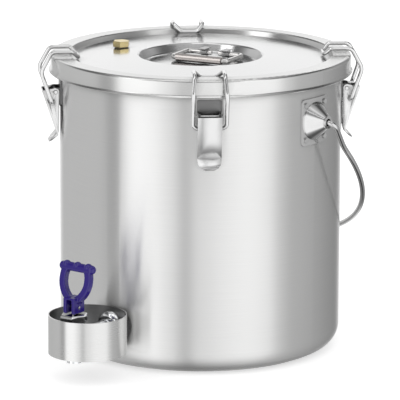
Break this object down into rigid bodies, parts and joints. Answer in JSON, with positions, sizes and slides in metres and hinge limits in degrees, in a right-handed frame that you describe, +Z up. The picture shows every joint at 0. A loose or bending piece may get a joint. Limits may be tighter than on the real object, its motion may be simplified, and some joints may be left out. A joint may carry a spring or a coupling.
{
  "type": "insulated drinks container with tap",
  "caption": "Insulated round steel container with a latched lid, swinging bail, lid vent, folding lid handle and a draw-off tap inside a guard ring.",
  "frame": {"origin": "centre of the base, on the surface the container stands on", "axes": "+Z up, -Y towards the tap, +X along the bail pivot towards the right-hand ear"},
  "size_m": [0.4124, 0.4618, 0.3783],
  "materials": {
    "brushed_steel": "brushed",
    "polished_steel": "polished stainless steel",
    "chrome": "mirror",
    "brass": "satin",
    "foam": "matte foam",
    "silicone": "matte",
    "handle_plastic": "gloss"
  },
  "bodies": {
    "container": {"base_disc": "brushed_steel", "ear_cone_left": "polished_steel", "ear_cone_right": "polished_steel", "ear_plate_left": "polished_steel", "ear_plate_right": "polished_steel", "ear_rivets": "polished_steel", "guard_gasket": "silicone", "guard_ring": "brushed_steel", "inner_vessel": "brushed_steel", "insulation": "foam", "latch_pin_back": "polished_steel", "latch_pin_front": "polished_steel", "latch_pin_left": "polished_steel", "latch_pin_right": "polished_steel", "latch_plate_back": "polished_steel", "latch_plate_front": "polished_steel", "latch_plate_left": "polished_steel", "latch_plate_right": "polished_steel", "lid_gasket": "silicone", "lid_handle_clips": "polished_steel", "lid_handle_rivets": "polished_steel", "lid_insulation": "foam", "lid_liner": "brushed_steel", "lid_panel": "brushed_steel", "lid_rim": "brushed_steel", "outer_shell": "brushed_steel", "tap_back_nut": "polished_steel", "tap_body": "chrome", "tap_bonnet": "chrome", "tap_dome_nut": "chrome", "tap_inner_washer": "silicone", "tap_shank": "polished_steel", "top_collar": "brushed_steel", "vent_bush": "brass", "vent_nut": "brass"},
    "vent_washer": {"vent_washer": "silicone", "vent_stem": "brass"},
    "vent_screw": {"vent_screw": "brass"},
    "lid_handle": {"lid_handle_wire": "polished_steel"},
    "lid_grip": {"lid_handle_grip": "polished_steel"},
    "bail": {"carry_bail": "polished_steel"},
    "tap_valve": {"tap_stem": "polished_steel", "tap_seal": "silicone", "tap_pin": "polished_steel"},
    "tap_handle": {"tap_handle": "handle_plastic"},
    "lever_front": {"latch_lever_front": "polished_steel"},
    "loop_front": {"latch_loop_front": "polished_steel"},
    "lever_right": {"latch_lever_right": "polished_steel"},
    "loop_right": {"latch_loop_right": "polished_steel"},
    "lever_back": {"latch_lever_back": "polished_steel"},
    "loop_back": {"latch_loop_back": "polished_steel"},
    "lever_left": {"latch_lever_left": "polished_steel"},
    "loop_left": {"latch_loop_left": "polished_steel"}
  },
  "joints": [
    {"name": "lever_front_open", "type": "hinge", "parent": "container", "child": "lever_front", "pos_m": [0.11836, -0.1376, 0.325], "axis": [-0.7581, -0.6521, 0], "range_deg": [0, 95]},
    {"name": "loop_front_swing", "type": "hinge", "parent": "lever_front", "child": "loop_front", "pos_m": [0.12129, -0.14101, 0.311], "axis": [-0.7581, -0.6521, 0], "range_deg": [-81, 0]},
    {"name": "lever_right_open", "type": "hinge", "parent": "container", "child": "lever_right", "pos_m": [0.13635, 0.11979, 0.325], "axis": [0.66, -0.7513, 0], "range_deg": [0, 95]},
    {"name": "loop_right_swing", "type": "hinge", "parent": "lever_right", "child": "loop_right", "pos_m": [0.13973, 0.12276, 0.311], "axis": [0.66, -0.7513, 0], "range_deg": [-81, 0]},
    {"name": "lever_back_open", "type": "hinge", "parent": "container", "child": "lever_back", "pos_m": [-0.12332, 0.13317, 0.325], "axis": [0.7337, 0.6794, 0], "range_deg": [0, 95]},
    {"name": "loop_back_swing", "type": "hinge", "parent": "lever_back", "child": "loop_back", "pos_m": [-0.12638, 0.13647, 0.311], "axis": [0.7337, 0.6794, 0], "range_deg": [-81, 0]},
    {"name": "lever_left_open", "type": "hinge", "parent": "container", "child": "lever_left", "pos_m": [-0.13144, -0.12517, 0.325], "axis": [-0.6896, 0.7242, 0], "range_deg": [0, 95]},
    {"name": "loop_left_swing", "type": "hinge", "parent": "lever_left", "child": "loop_left", "pos_m": [-0.1347, -0.12827, 0.311], "axis": [-0.6896, 0.7242, 0], "range_deg": [-81, 0]},
    {"name": "bail_swing", "type": "hinge", "parent": "container", "child": "bail", "pos_m": [0, 0, 0.305], "axis": [1, 0, 0], "range_deg": [0, 273.5]},
    {"name": "lid_handle_fold", "type": "hinge", "parent": "container", "child": "lid_handle", "pos_m": [-0.00801, 0.04123, 0.3613], "axis": [-0.9816, -0.1908, 0], "range_deg": [0, 95]},
    {"name": "lid_grip_roll", "type": "hinge", "parent": "lid_handle", "child": "lid_grip", "pos_m": [0.00076, -0.00393, 0.3613], "axis": [0.9816, 0.1908, 0], "continuous": true},
    {"name": "vent_rise", "type": "slide", "parent": "container", "child": "vent_washer", "axis": [0, 0, 1], "range_m": [0, 0.003]},
    {"name": "vent_unscrew", "type": "hinge", "parent": "vent_washer", "child": "vent_screw", "pos_m": [-0.1103, -0.01945, 0.37], "axis": [0, 0, 1], "range_deg": [0, 720]},
    {"name": "tap_lift", "type": "slide", "parent": "container", "child": "tap_valve", "axis": [0, 0, 1], "range_m": [0, 0.006]},
    {"name": "tap_tilt", "type": "hinge", "parent": "tap_valve", "child": "tap_handle", "pos_m": [0, -0.251, 0.0935], "axis": [1, 0, 0], "range_deg": [0, 60]}
  ],
  "couplings": [
    {"joint": "loop_front_swing", "follows": "lever_front_open", "ratio": -0.85},
    {"joint": "loop_right_swing", "follows": "lever_right_open", "ratio": -0.85},
    {"joint": "loop_back_swing", "follows": "lever_back_open", "ratio": -0.85},
    {"joint": "loop_left_swing", "follows": "lever_left_open", "ratio": -0.85},
    {"joint": "vent_unscrew", "follows": "vent_rise", "rad_per_m": 4188.8},
    {"joint": "tap_lift", "follows": "tap_tilt", "m_per_rad": 0.0057295}
  ]
}
